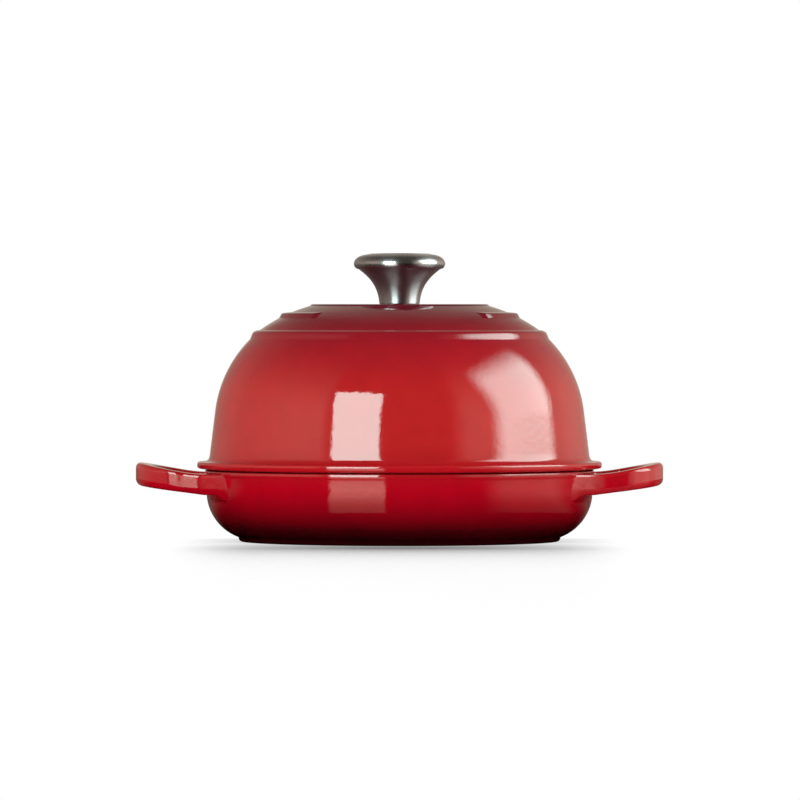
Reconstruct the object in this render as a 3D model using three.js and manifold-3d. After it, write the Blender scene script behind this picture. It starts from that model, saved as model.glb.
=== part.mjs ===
// Enamelled cast-iron bread pot: a shallow base with two loop handles and a high domed lid with a steel knob.
// Millimetres, +Z up. The origin is the middle of the foot on the table, and the handles lie along X.
import * as THREE from "three";
import { mergeVertices, toCreasedNormals } from "three/addons/utils/BufferGeometryUtils.js";
import Module from "manifold-3d";

// Gaps between pieces
const seatGap = 0.3; // left between pieces that rest on each other
const lidPlay = 0.7; // sideways room of the lid in the base
const screwPlay = 0.3; // room around the screw in the lid, the washers and the knob

// Base
const baseRadius = 120;
const rimHeight = 44.2;
const rimBead = 0.6; // how far the rim stands out from the wall
const rimBeadHeight = 3.3;
const rimWidth = 4;
const rimEdge = 0.8; // rounding of the outer edge of the rim
const rimBevel = 0.8; // bevel of its inner edge
const baseWall = 3.8;
const baseFloor = 4.6;
const bowlCurve = 30; // radius of the rounding between wall and foot
const footRadius = 99.6;
const footHeight = 2.5;
const footEdge = 2.2;
const footRecessRadius = 72;
const footRecessDepth = 0.8;
const ridgeCount = 4; // low rings on the floor inside
const ridgeFirst = 24;
const ridgePitch = 15;
const ridgeHeight = 1;
const ridgeWidth = 4;

// Handles
const handleReach = 43.2; // from the wall to the tip
const handleSpan = 82; // across the loop, outside, where it is straight
const handleWidth = 12;
const handleHeight = 12.8; // at the wall
const handleCorner = 2.4; // rounding of the upper edges
const handleUnder = 3.6; // rounding of the lower edges
const handleDrop = 1.8; // how far its top lies below the rim where it leaves the wall
const handleRise = 7.1; // climb of its top from the wall to the tip
const handleLevel = 14; // how slowly that climb begins
const handleUnderRise = 5.4; // climb of its underside
const handleFlare = 37; // radius by which its outer edge spreads into the wall
const handleInnerFlare = 8; // the same for the edge of its hole
const handleFillet = 3; // the same for its underside
const handleSink = 2; // how far its root reaches into the wall

// Lid
const flangeOverhang = 4.6; // beyond the rim of the base
const flangeThickness = 5; // from the seat to the top of the flange
const flangeLift = 0.8; // how far the underside of the flange rises towards its edge
const flangeEdge = 1.3; // rounding of its outer edges
const flangeFillet = 4;
const lipWidth = 2.4;
const lipDepth = 3.4;
const lipBevel = 0.7;
const lidWall = 4;
const sideDraft = 6.1; // degrees
const sideHeight = 30.2; // straight part of the side above the flange
const shoulderRadius = 75.9;
const shoulderSlope = 45; // degrees from level, where the shoulder ends
const stepRise = 4.1; // outer step round the crown
const stepInset = 1.7;
const stepWidth = 4.3;
const stepSlope = 17.8; // degrees from level
const crestBevel = 1; // bevel along the edges of the step, the bars and the top
const crownRadius = 97;
const crownSlope = 36; // degrees from level, where the crown leaves the outer step
const barGap = 11.9; // from the outer step in to the raised bars on the left and right of the crown
const barWidth = 8.1;
const barSlope = 4; // degrees from level
const barInset = 1.4; // how far the outer face of a bar leans in
const barLift = 0.2; // how far its inner edge stands up from the crown
const barArc = 90; // degrees
const barTrim = 1.4; // cut off each end of a bar
const topGap = 9.1; // from the bars in to the foot of the raised top
const topRise = 1.6;
const topInset = 2.4;

// Knob
const knobRadius = 28.3;
const knobStem = 12.5; // radius of the stem at the lid
const knobStemHeight = 21.4;
const knobNeck = 25.3; // radius of the stem under the head
const knobUnder = 3.4; // height of the rounding below the widest part of the head
const knobOver = 5.6; // height of the rounding above it
const knobShoulder = 8.5; // how far that rounding reaches in
const knobCrown = 0.9;
const knobChamfer = 0.6;
const threadSpare = 4; // depth of the hole beyond the end of the screw

// Screw and washers
const screwRadius = 3;
const screwGrip = 10; // thread inside the knob
const screwBevel = 0.6;
const headRadius = 6;
const headHeight = 3.8;
const headEdge = 1.2;
const slotWidth = 1.4;
const slotDepth = 1.8;
const flatWasherRadius = 9;
const flatWasherThickness = 1.6;
const lockWasherRadius = 5.6;
const lockWasherThickness = 1.5;
const lockWasherSplit = 0.9;

// Roundness
const roundSides = 56;
const knobSides = 32;
const smallSides = 24;

const wasm = await Module();
wasm.setup();

const radians = THREE.MathUtils.degToRad;

// Points of an arc about a centre. Angles are degrees from straight out, towards up.
function arc(centreRadius, centreHeight, radius, from, to, steps) {
  const points = [];
  for (let i = 0; i <= steps; i += 1) {
    const angle = radians(from + ((to - from) * i) / steps);
    points.push([centreRadius + radius * Math.cos(angle), centreHeight + radius * Math.sin(angle)]);
  }
  return points;
}

// Turns an outline of [radius, height] points about Z.
function revolve(outline, sides) {
  const points = outline.map(([radius, height]) => new THREE.Vector2(radius, height));
  return new THREE.LatheGeometry(points, sides).rotateX(Math.PI / 2);
}

// Turns a closed outline that keeps off the axis about Z.
function revolveRing(outline, sides) {
  return revolve([...outline, outline[0]], sides);
}

// Joins rings of points into a closed skin with flat ends.
function loft(rings) {
  const count = rings[0].length;
  const positions = rings.flat().flatMap((point) => [point.x, point.y, point.z]);
  const index = [];
  for (let i = 0; i + 1 < rings.length; i += 1) {
    for (let j = 0; j < count; j += 1) {
      const k = (j + 1) % count;
      const a = i * count + j;
      const b = i * count + k;
      index.push(a, b + count, b, a, a + count, b + count);
    }
  }
  const last = (rings.length - 1) * count;
  for (let j = 1; j + 1 < count; j += 1) {
    index.push(0, j, j + 1, last, last + j + 1, last + j);
  }
  const geometry = new THREE.BufferGeometry();
  geometry.setAttribute("position", new THREE.Float32BufferAttribute(positions, 3));
  geometry.setIndex(index);
  return geometry;
}

// Makes a closed geometry ready for joining and cutting.
function solid(geometry) {
  const bare = geometry.clone();
  bare.deleteAttribute("normal");
  bare.deleteAttribute("uv");
  const merged = mergeVertices(bare, 1e-3);
  return new wasm.Manifold(new wasm.Mesh({
    numProp: 3,
    vertProperties: merged.attributes.position.array,
    triVerts: new Uint32Array(merged.index.array),
  }));
}

function toGeometry(body) {
  const mesh = body.getMesh();
  const geometry = new THREE.BufferGeometry();
  geometry.setAttribute("position", new THREE.Float32BufferAttribute(mesh.vertProperties, 3));
  geometry.setIndex(Array.from(mesh.triVerts));
  return toCreasedNormals(geometry, radians(25));
}

// Base: the outside of the bowl, from the middle of the foot up to the middle of the rim
const rimRadius = baseRadius + rimBead;
const rimInside = rimRadius - rimWidth;
const bowlCentre = baseRadius - bowlCurve;
const bowlLevel = footHeight + bowlCurve * Math.sqrt(1 - ((footRadius - bowlCentre) / bowlCurve) ** 2);
const bowlStart = THREE.MathUtils.radToDeg(Math.asin((footHeight - bowlLevel) / bowlCurve));
const beadFoot = rimHeight - rimBeadHeight;

const bowlOutside = [
  [0, footRecessDepth],
  [footRecessRadius, footRecessDepth],
  [footRecessRadius + 2 * footRecessDepth, 0],
  ...arc(footRadius - footEdge, footEdge, footEdge, -90, 0, 3),
  ...arc(bowlCentre, bowlLevel, bowlCurve, bowlStart, 0, 8),
  [baseRadius, beadFoot - rimBead / 2],
  [rimRadius, beadFoot + rimBead / 2],
  ...arc(rimRadius - rimEdge, rimHeight - rimEdge, rimEdge, 0, 90, 4),
  [0, rimHeight],
];

// Base: the hollow, from the floor up to a little above the rim
const hollowCurve = bowlLevel - baseFloor;
const hollowCentre = baseRadius - baseWall - hollowCurve;
const floorRidges = [];
for (let i = 0; i < ridgeCount; i += 1) {
  const middle = ridgeFirst + i * ridgePitch;
  floorRidges.push(
    [middle - ridgeWidth / 2, baseFloor],
    [middle, baseFloor + ridgeHeight],
    [middle + ridgeWidth / 2, baseFloor],
  );
}

const bowlInside = [
  [0, baseFloor],
  ...floorRidges,
  ...arc(hollowCentre, bowlLevel, hollowCurve, -90, 0, 6),
  [rimInside, beadFoot],
  [rimInside, rimHeight - rimBevel],
  [rimInside + rimBevel, rimHeight],
  [rimInside + rimBevel, rimHeight + rimBevel],
  [0, rimHeight + rimBevel],
];

// Handle: the plan of one edge of the loop, from inside the wall past its flare and round to the tip.
// A bend of 1 spreads outwards into the wall, and -1 inwards.
const loopStart = Math.sqrt((baseRadius + handleFlare) ** 2 - (handleSpan / 2 + handleFlare) ** 2);

function loopEdge(inset, flare, bend) {
  const half = handleSpan / 2 - inset;
  const tip = baseRadius + handleReach - inset;
  const middleSide = half + bend * flare;
  const middleOut = Math.sqrt((baseRadius + flare) ** 2 - middleSide ** 2);
  const toWall = Math.atan2(-middleSide, -middleOut);
  const sunk = (baseRadius - handleSink) / (baseRadius + flare);
  const root = new THREE.Path();
  root.moveTo(middleOut * sunk, middleSide * sunk);
  root.absarc(middleOut, middleSide, flare, toWall, (-bend * Math.PI) / 2, bend < 0);
  root.lineTo(loopStart, half);
  const round = new THREE.Path().absellipse(loopStart, 0, tip - loopStart, half, Math.PI / 2, 0, true);
  return [...root.getSpacedPoints(10), ...round.getSpacedPoints(8).slice(1)];
}

// The same edge on both sides of the loop, from root to root
function wholeEdge(inset, flare, bend) {
  const edge = loopEdge(inset, flare, bend);
  const nearSide = edge.map((point) => new THREE.Vector2(point.x, -point.y));
  return [...nearSide, ...edge.toReversed().slice(1)];
}

// Points of the handle's section: their corner, the rounding there and the direction that each one faces
function handleSection() {
  const points = [];
  for (const [quarter, right, top] of [[0, 1, 1], [1, -1, 1], [2, -1, -1], [3, 1, -1]]) {
    for (let i = 0; i <= 2; i += 1) {
      const angle = radians(90 * quarter + 45 * i);
      const corner = top > 0 ? handleCorner : handleUnder;
      points.push({ right, top, corner, outward: Math.cos(angle), upward: Math.sin(angle) });
    }
  }
  return points;
}

// Climb of the handle's top at a distance from the wall, nearly level at first
function topClimb(out) {
  const climb = (distance) => Math.hypot(distance, handleLevel) - handleLevel;
  return (handleRise * climb(out)) / climb(handleReach);
}

// Depth of the fillet under the handle at a distance from the wall: a quarter circle
function rootFillet(distance) {
  const reach = THREE.MathUtils.clamp(handleFillet - distance, 0, handleFillet);
  return handleFillet - Math.sqrt(handleFillet ** 2 - reach ** 2);
}

function handle() {
  const outer = wholeEdge(0, handleFlare, 1);
  const inner = wholeEdge(handleWidth, handleInnerFlare, -1);
  const rootLevel = rimHeight - handleDrop - handleHeight / 2;
  const section = handleSection();
  const rings = outer.map((edge, i) => {
    const across = edge.clone().sub(inner[i]);
    const half = across.length() / 2;
    across.normalize();
    return section.map(({ right, top, corner, outward, upward }) => {
      const spot = edge.clone().addScaledVector(across, right * (half - corner) + corner * outward - half);
      const up = top * (handleHeight / 2 - corner) + corner * upward;
      const out = Math.max(spot.x - baseRadius, 0);
      const share = up / handleHeight + 0.5;
      const climb = share * topClimb(out) + (1 - share) * handleUnderRise * (out / handleReach);
      const dip = rootFillet(spot.length() - baseRadius) * Math.max(-upward, 0);
      return new THREE.Vector3(spot.x, spot.y, rootLevel + up + climb - dip);
    });
  });
  return loft(rings);
}

const rightHandle = handle();
const leftHandle = rightHandle.clone().rotateZ(Math.PI);
const basePan = solid(revolve(bowlOutside, roundSides))
  .add(solid(rightHandle))
  .add(solid(leftHandle))
  .subtract(solid(revolve(bowlInside, roundSides)));

// Lid: levels and radii that follow from the base
const seatLevel = rimHeight + seatGap;
const lipOutside = rimInside - lidPlay;
const lipInside = lipOutside - lipWidth;
const flangeRadius = rimRadius + flangeOverhang;
const flangeTop = seatLevel + flangeThickness;
const sideFoot = lipInside + lidWall;
const sideTop = flangeTop + sideHeight;
const sideTopRadius = sideFoot - sideHeight * Math.tan(radians(sideDraft));
const shoulderCentre = sideTopRadius - shoulderRadius * Math.cos(radians(sideDraft));
const shoulderLevel = sideTop - shoulderRadius * Math.sin(radians(sideDraft));
const shoulderEnd = shoulderCentre + shoulderRadius * Math.sin(radians(shoulderSlope));
const shoulderTop = shoulderLevel + shoulderRadius * Math.cos(radians(shoulderSlope));
const stepOuter = shoulderEnd - stepInset;
const stepLevel = shoulderTop + stepRise;
const stepInner = stepOuter - stepWidth;
const crownFoot = stepLevel + stepWidth * Math.tan(radians(stepSlope));
const crownCentre = stepInner - crownRadius * Math.sin(radians(crownSlope));
const crownLevel = crownFoot - crownRadius * Math.cos(radians(crownSlope));
const barOuter = stepInner - barGap;
const barInner = barOuter - barWidth;
const crownEnd = barInner - topGap;
const topRadius = crownEnd - topInset;
const crownHeight = (radius) => crownLevel + Math.sqrt(crownRadius ** 2 - (radius - crownCentre) ** 2);
const crownAngle = (radius) => THREE.MathUtils.radToDeg(Math.acos((radius - crownCentre) / crownRadius));
const topLevel = crownHeight(crownEnd) + topRise;
const topInside = topLevel - lidWall;
const insideShoulder = shoulderRadius - lidWall;
const insideCrown = crownRadius - lidWall;
const insideCrownEnd = crownAngle(crownEnd);
const insideTopRadius = topRadius - topRise;
const screwHole = screwRadius + screwPlay;

// Lid: round the section, up the outside and down the inside
const lidOutline = [
  [lipOutside - lipBevel, seatLevel - lipDepth],
  [lipOutside, seatLevel - lipDepth + lipBevel],
  [lipOutside, seatLevel],
  [rimRadius - rimEdge, seatLevel],
  ...arc(flangeRadius - flangeEdge, seatLevel + flangeLift + flangeEdge, flangeEdge, -80, 0, 3),
  ...arc(flangeRadius - flangeEdge, flangeTop - flangeEdge, flangeEdge, 0, 85, 3),
  ...arc(sideFoot + flangeFillet, flangeTop + flangeFillet, flangeFillet, 270, 180 + sideDraft, 3),
  ...arc(shoulderCentre, shoulderLevel, shoulderRadius, sideDraft, 90 - shoulderSlope, 7),
  [stepOuter + crestBevel / 2, stepLevel - crestBevel],
  [stepOuter - crestBevel / 2, stepLevel],
  ...arc(crownCentre, crownLevel, crownRadius, 90 - crownSlope, crownAngle(crownEnd), 4),
  [topRadius + crestBevel / 2, topLevel - crestBevel],
  [topRadius - crestBevel / 2, topLevel],
  [screwHole, topLevel],
  [screwHole, topInside],
  [insideTopRadius, topInside],
  ...arc(crownCentre, crownLevel, insideCrown, insideCrownEnd, 90 - crownSlope, 3),
  ...arc(shoulderCentre, shoulderLevel, insideShoulder, 90 - shoulderSlope, sideDraft, 5),
  [lipInside, flangeTop + flangeFillet],
  [lipInside, seatLevel - lipDepth],
];

// Raised bars: a ring on the crown with its front and back cut away
const barTop = crownHeight(barInner) - (barOuter - barInner) * Math.tan(radians(barSlope));
const barOutline = [
  [barInner, crownHeight(barInner) - lidWall / 2],
  [barOuter, crownHeight(barOuter) - lidWall / 2],
  [barOuter, crownHeight(barOuter) - barLift],
  [barOuter - barInset, barTop - crestBevel / 2],
  [barOuter - barInset - crestBevel, barTop],
  [barInner, crownHeight(barInner) + barLift],
];
const wedgeHalf = radians(90 - barArc / 2);
const wedgeReach = 2 * barOuter;
const wedge = new THREE.Shape();
wedge.moveTo(barTrim, 0);
wedge.lineTo(wedgeReach * Math.sin(wedgeHalf) + barTrim, wedgeReach * Math.cos(wedgeHalf));
wedge.lineTo(-wedgeReach * Math.sin(wedgeHalf) - barTrim, wedgeReach * Math.cos(wedgeHalf));
wedge.lineTo(-barTrim, 0);
const backWedge = new THREE.ExtrudeGeometry(wedge, { depth: 2 * topLevel, bevelEnabled: false });
const frontWedge = backWedge.clone().rotateZ(Math.PI);
const barRing = solid(revolveRing(barOutline, roundSides));
const bars = barRing.subtract(solid(backWedge)).subtract(solid(frontWedge));
const domeLid = solid(revolveRing(lidOutline, roundSides)).add(bars);

// Knob: a flared stem under a rounded head, with a blind hole for the screw
const knobFoot = topLevel + seatGap;
const neckTop = knobFoot + knobStemHeight;
const headMiddle = neckTop + knobUnder;
const knobTop = headMiddle + knobOver + knobCrown;
const screwEnd = knobFoot + screwGrip;
const threadEnd = screwEnd + threadSpare;
const stem = new THREE.CubicBezierCurve(
  new THREE.Vector2(knobStem, knobFoot + knobChamfer),
  new THREE.Vector2(knobStem + 0.8, knobFoot + 0.5 * knobStemHeight),
  new THREE.Vector2(knobStem + 0.46 * (knobNeck - knobStem), knobFoot + 0.76 * knobStemHeight),
  new THREE.Vector2(knobNeck, neckTop),
);

// One quarter of the rounded edge of the head
function headRound(depth, height, from, to) {
  const quarter = arc(0, 0, 1, from, to, 3);
  return quarter.map(([out, up]) => [knobRadius - depth * (1 - out), headMiddle + height * up]);
}

const knobOutline = [
  [screwHole, knobFoot],
  [knobStem - knobChamfer, knobFoot],
  ...stem.getPoints(7).map((point) => [point.x, point.y]),
  ...headRound(knobRadius - knobNeck, knobUnder, -78, 0),
  ...headRound(knobShoulder, knobOver, 22, 72),
  [0.62 * knobRadius, knobTop - knobCrown / 3],
  [0.3 * knobRadius, knobTop],
  [0, knobTop],
  [0, threadEnd],
  [screwHole, threadEnd - screwRadius / 2],
  [screwHole, knobFoot],
];

// Screw and washers, hanging under the top of the lid one below the other
const flatWasherTop = topInside - seatGap;
const lockWasherTop = flatWasherTop - flatWasherThickness - seatGap;
const headTop = lockWasherTop - lockWasherThickness - seatGap;
const headBottom = headTop - headHeight;

function washer(radius, top, thickness) {
  return revolveRing([
    [screwHole, top - thickness],
    [radius, top - thickness],
    [radius, top],
    [screwHole, top],
  ], smallSides);
}

const split = new THREE.BoxGeometry(2 * lockWasherRadius, lockWasherSplit, 4 * lockWasherThickness);
split.rotateX(radians(25));
split.translate(lockWasherRadius + screwRadius / 2, 0, lockWasherTop - lockWasherThickness / 2);
const lockWasher = solid(washer(lockWasherRadius, lockWasherTop, lockWasherThickness)).subtract(solid(split));

const screwOutline = [
  [0, headBottom],
  [headRadius - 2 * headEdge, headBottom],
  ...arc(headRadius - headEdge, headBottom + headEdge, headEdge, -60, 0, 3),
  [headRadius, headTop],
  [screwRadius, headTop],
  [screwRadius, screwEnd - screwBevel],
  [screwRadius - screwBevel, screwEnd],
  [0, screwEnd],
];
const slot = new THREE.BoxGeometry(4 * headRadius, slotWidth, 2 * slotDepth).translate(0, 0, headBottom);
const knobScrew = solid(revolve(screwOutline, smallSides)).subtract(solid(slot));

// The assembly
const redEnamel = new THREE.MeshStandardMaterial({ color: 0xa8141c, roughness: 0.2, metalness: 0 });
const satinSteel = new THREE.MeshStandardMaterial({ color: 0x8c8c8c, roughness: 0.28, metalness: 1 });
const platedSteel = new THREE.MeshStandardMaterial({ color: 0xa6a8aa, roughness: 0.4, metalness: 1 });

const breadPot = new THREE.Group();
breadPot.name = "bread_pot";

function place(name, geometry, material) {
  const mesh = new THREE.Mesh(geometry, material);
  mesh.name = name;
  breadPot.add(mesh);
}

place("base_pan", toGeometry(basePan), redEnamel);
place("dome_lid", toGeometry(domeLid), redEnamel);
place("knob", revolve(knobOutline, knobSides), satinSteel);
place("knob_screw", toGeometry(knobScrew), platedSteel);
place("flat_washer", washer(flatWasherRadius, flatWasherTop, flatWasherThickness), platedSteel);
place("lock_washer", toGeometry(lockWasher), platedSteel);

export default breadPot;
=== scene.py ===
import bpy
import numpy as np
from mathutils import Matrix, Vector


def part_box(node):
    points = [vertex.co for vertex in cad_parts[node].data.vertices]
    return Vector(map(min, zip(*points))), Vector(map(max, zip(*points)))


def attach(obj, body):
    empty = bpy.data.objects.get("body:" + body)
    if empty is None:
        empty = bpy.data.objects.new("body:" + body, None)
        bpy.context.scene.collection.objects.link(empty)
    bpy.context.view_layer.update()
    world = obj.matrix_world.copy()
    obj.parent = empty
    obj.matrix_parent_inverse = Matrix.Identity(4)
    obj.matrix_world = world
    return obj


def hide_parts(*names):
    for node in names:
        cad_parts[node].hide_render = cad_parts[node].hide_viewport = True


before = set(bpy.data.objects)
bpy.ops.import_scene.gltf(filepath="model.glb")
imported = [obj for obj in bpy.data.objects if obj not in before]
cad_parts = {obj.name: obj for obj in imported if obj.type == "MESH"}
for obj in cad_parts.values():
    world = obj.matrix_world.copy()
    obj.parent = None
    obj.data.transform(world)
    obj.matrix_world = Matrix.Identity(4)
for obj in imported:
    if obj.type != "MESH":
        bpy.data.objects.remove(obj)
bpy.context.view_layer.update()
mm = 0.001  # every setting below is in millimetres unless it says otherwise


# Points on an arc: the centre plus the radius times cosine and sine, with angles in degrees from
# straight out.
def arcPoints(centre, radius, start, end, count):
    turn = np.radians(np.linspace(start, end, count))
    return np.column_stack((centre[0] + radius * np.cos(turn), centre[1] + radius * np.sin(turn)))


# Angles of a whole turn, with no point twice.
def wholeTurn(count):
    return np.linspace(0, 2 * np.pi, count, endpoint=False)


# Points on a cubic curve: the four handles weighted by the usual powers of t and 1 - t.
def cubicPoints(handles, count):
    t = np.linspace(0, 1, count)[:, None]
    start, second, third, end = np.array(handles, float)
    return (1 - t) ** 3 * start + 3 * t * (1 - t) ** 2 * second + 3 * t ** 2 * (1 - t) * third + t ** 3 * end


# A softened outline: corners joined by straight runs, read every 0.05 mm and averaged with a bell of the
# given reach, the way glaze rounds an edge. The points that are kept stand closer where the line turns.
def softOutline(runs, reach, count, closed=False, crowding=22):
    corners = np.vstack([np.asarray(run, float) for run in runs])
    if closed:
        corners = np.vstack((corners, corners[:1]))
    steps = np.hypot(*np.diff(corners, axis=0).T)
    corners = corners[np.concatenate(([True], steps > 1e-6))]
    travelled = np.concatenate(([0], np.cumsum(np.hypot(*np.diff(corners, axis=0).T))))
    spots = np.linspace(0, travelled[-1], int(travelled[-1] / 0.05) + 1)
    pitch = spots[1]
    line = np.column_stack([np.interp(spots, travelled, corners[:, i]) for i in (0, 1)])
    half = int(3 * reach / pitch) + 1
    bell = np.exp(-0.5 * (np.arange(-half, half + 1) * pitch / reach) ** 2)
    if closed:
        longer = np.vstack((line[-half - 1:-1], line, line[1:half + 1]))
    else:
        longer = np.vstack((2 * line[0] - line[half:0:-1], line, 2 * line[-1] - line[-2:-half - 2:-1]))
    soft = np.column_stack([np.convolve(longer[:, i], bell / bell.sum(), "valid") for i in (0, 1)])
    slope = np.gradient(soft, axis=0)
    turning = np.abs(np.gradient(np.unwrap(np.arctan2(slope[:, 1], slope[:, 0]))))
    measure = np.cumsum(pitch + crowding * turning)
    places = np.interp(np.linspace(measure[0], measure[-1], count), measure, np.arange(len(soft)))
    kept = np.column_stack([np.interp(places, np.arange(len(soft)), soft[:, i]) for i in (0, 1)])
    return kept[:-1] if closed else kept


# The row of an outline that passes nearest to a point.
def rowNear(outline, point):
    return int(np.argmin(np.hypot(outline[:, 0] - point[0], outline[:, 1] - point[1])))


# Quads between neighbouring rows and columns of a grid of points; either way round may close on itself.
def gridQuads(rows, columns, closeRows, closeColumns=True):
    row = np.arange(rows if closeRows else rows - 1)[:, None]
    column = np.arange(columns if closeColumns else columns - 1)[None, :]
    nextRow = (row + 1) % rows
    nextColumn = (column + 1) % columns
    corners = (row * columns + column, row * columns + nextColumn,
               nextRow * columns + nextColumn, nextRow * columns + column)
    return np.stack(corners, axis=-1).reshape(-1, 4)


# A turned surface: each outline point goes round Z at the given angles. An outline that ends on the axis
# closes there in a fan of triangles, and a closed outline gives a ring.
def turnedSurface(outline, angles, closed=False):
    radius, height = outline[:, 0], outline[:, 1]
    points = np.stack((radius[:, None] * np.cos(angles), radius[:, None] * np.sin(angles),
                       np.repeat(height[:, None], len(angles), axis=1)), axis=-1)
    columns = len(angles)
    if closed:
        return points.reshape(-1, 3), [gridQuads(len(outline), columns, True)]
    rings = points[1:-1].reshape(-1, 3)
    ends = np.array([[0, 0, height[0]], [0, 0, height[-1]]])
    around = np.arange(columns)
    after = (around + 1) % columns
    last = len(rings) - columns
    foot = np.column_stack((np.full(columns, len(rings)), after, around))
    top = np.column_stack((last + around, last + after, np.full(columns, len(rings) + 1)))
    return np.vstack((rings, ends)), [gridQuads(len(outline) - 2, columns, False), foot, top]


# Puts points in millimetres and lists of faces into a smooth mesh object, with a material number per face.
def makePiece(name, points, faceSets, materials, faceMaterial=None):
    mesh = bpy.data.meshes.new(name)
    faces = [face for faceSet in faceSets for face in np.asarray(faceSet).tolist()]
    mesh.from_pydata((np.asarray(points) * mm).tolist(), [], faces)
    for material in materials:
        mesh.materials.append(material)
    mesh.polygons.foreach_set("use_smooth", np.ones(len(faces), bool))
    if faceMaterial is not None:
        mesh.polygons.foreach_set("material_index", np.asarray(faceMaterial, np.int32))
    mesh.update()
    piece = bpy.data.objects.new(name, mesh)
    bpy.context.scene.collection.objects.link(piece)
    return piece


# Joins other closed pieces to a piece, or cuts them out of it, and keeps the result as its mesh.
def combine(piece, others, operation):
    for other in others:
        step = piece.modifiers.new("step", "BOOLEAN")
        step.operation = operation
        step.solver = "MANIFOLD"
        step.object = other
    seen = piece.evaluated_get(bpy.context.evaluated_depsgraph_get())
    mesh = bpy.data.meshes.new_from_object(seen)
    piece.modifiers.clear()
    piece.data = mesh
    for other in others:
        bpy.data.objects.remove(other)
    mesh.polygons.foreach_set("use_smooth", np.ones(len(mesh.polygons), bool))
    mesh.update()


# A node with its inputs set by name: a socket is linked, a plain value is written into the input.
def addNode(tree, kind, inputs=None, **options):
    node = tree.nodes.new(kind)
    for option, value in options.items():
        setattr(node, option, value)
    for name, value in (inputs or {}).items():
        if isinstance(value, bpy.types.NodeSocket):
            tree.links.new(value, node.inputs[name])
        else:
            node.inputs[name].default_value = value
    return node


def startMaterial(name):
    material = bpy.data.materials.new(name)
    material.use_nodes = True
    tree = material.node_tree
    shader = tree.nodes["Principled BSDF"]
    place = tree.nodes.new("ShaderNodeTexCoord").outputs["Object"]
    return material, tree, shader, place


# A ramp of colours over a number: each stop is a position from 0 to 1 and a colour.
def colourRamp(tree, factor, stops):
    ramp = addNode(tree, "ShaderNodeValToRGB", {"Fac": factor})
    elements = ramp.color_ramp.elements
    while len(elements) < len(stops):
        elements.new(0.5)
    for element, (position, colour) in zip(elements, stops):
        element.position = position
        element.color = (*colour, 1)
    return ramp.outputs["Color"]


# A soft step: 0 up to the start, 1 from the end on, and a smooth curve between them.
def fade(tree, value, start, end):
    return addNode(tree, "ShaderNodeMapRange", {"Value": value, "From Min": start, "From Max": end},
                   interpolation_type="SMOOTHSTEP").outputs["Result"]


# A plain change of range: the start becomes the low value and the end the high one, and past them it stays.
def mapped(tree, value, start, end, low, high):
    inputs = {"Value": value, "From Min": start, "From Max": end, "To Min": low, "To Max": high}
    return addNode(tree, "ShaderNodeMapRange", inputs).outputs["Result"]


# One sum or product of two numbers, or another operation by its name.
def maths(tree, operation, first, second=0):
    return addNode(tree, "ShaderNodeMath", {0: first, 1: second}, operation=operation).outputs[0]


# A number that goes from the first to the second as the factor goes from 0 to 1.
def mixed(tree, factor, first, second):
    return addNode(tree, "ShaderNodeMix", {"Factor": factor, "A": first, "B": second}).outputs["Result"]


def noise(tree, place, scale, detail):
    inputs = {"Vector": place, "Scale": scale, "Detail": detail}
    return addNode(tree, "ShaderNodeTexNoise", inputs).outputs["Fac"]


# A bump of the given depth in millimetres, over another normal where there is one.
def bumped(tree, height, depth, strength=1, under=None):
    inputs = {"Height": height, "Strength": strength, "Distance": depth * mm}
    if under is not None:
        inputs["Normal"] = under
    return addNode(tree, "ShaderNodeBump", inputs).outputs["Normal"]


def separated(tree, vector):
    return addNode(tree, "ShaderNodeSeparateXYZ", {"Vector": vector}).outputs


# Red enamel: the shade runs from near black at the foot through bright red to burgundy at the crown, with
# faint clouding. This run by height is partly the enamel's own ombré and partly painted shade, darkest at
# the foot and at the crown. The glass lies in the low soft ripple of a sprayed and fired coat, calmer on the
# handles.
enamel = {
    "height": 178.0,
    # shades by height: the enamel's own ombré, with painted shade at the foot and at the crown
    "shadesWithPaintedShade": [
        (0.0, (0.02, 0.0009, 0.0015)),
        (9.0, (0.055, 0.0006, 0.0025)),
        (20.0, (0.23, 0.0005, 0.005)),
        (34.0, (0.40, 0.0006, 0.008)),
        (60.0, (0.43, 0.009, 0.010)),
        (95.0, (0.425, 0.009, 0.010)),
        (122.0, (0.32, 0.004, 0.011)),
        (148.0, (0.092, 0.004, 0.012)),
    ],
    "drift": 3.0,  # how far the shades wander up and down
    "driftScale": 28.0,
    "cloudScale": 75.0,
    "clouding": (0.88, 1.12),
    "roughness": (0.16, 0.24),
    "ripple": 4.0,
    "rippleDepth": 0.045,
    "handleRipple": 0.35,
    "handleStart": (118.0, 128.0),
    "grain": 0.9,
    "grainDepth": 0.0009,
    "glassIor": 1.7,
    "glassRoughness": 0.055,
}


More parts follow.
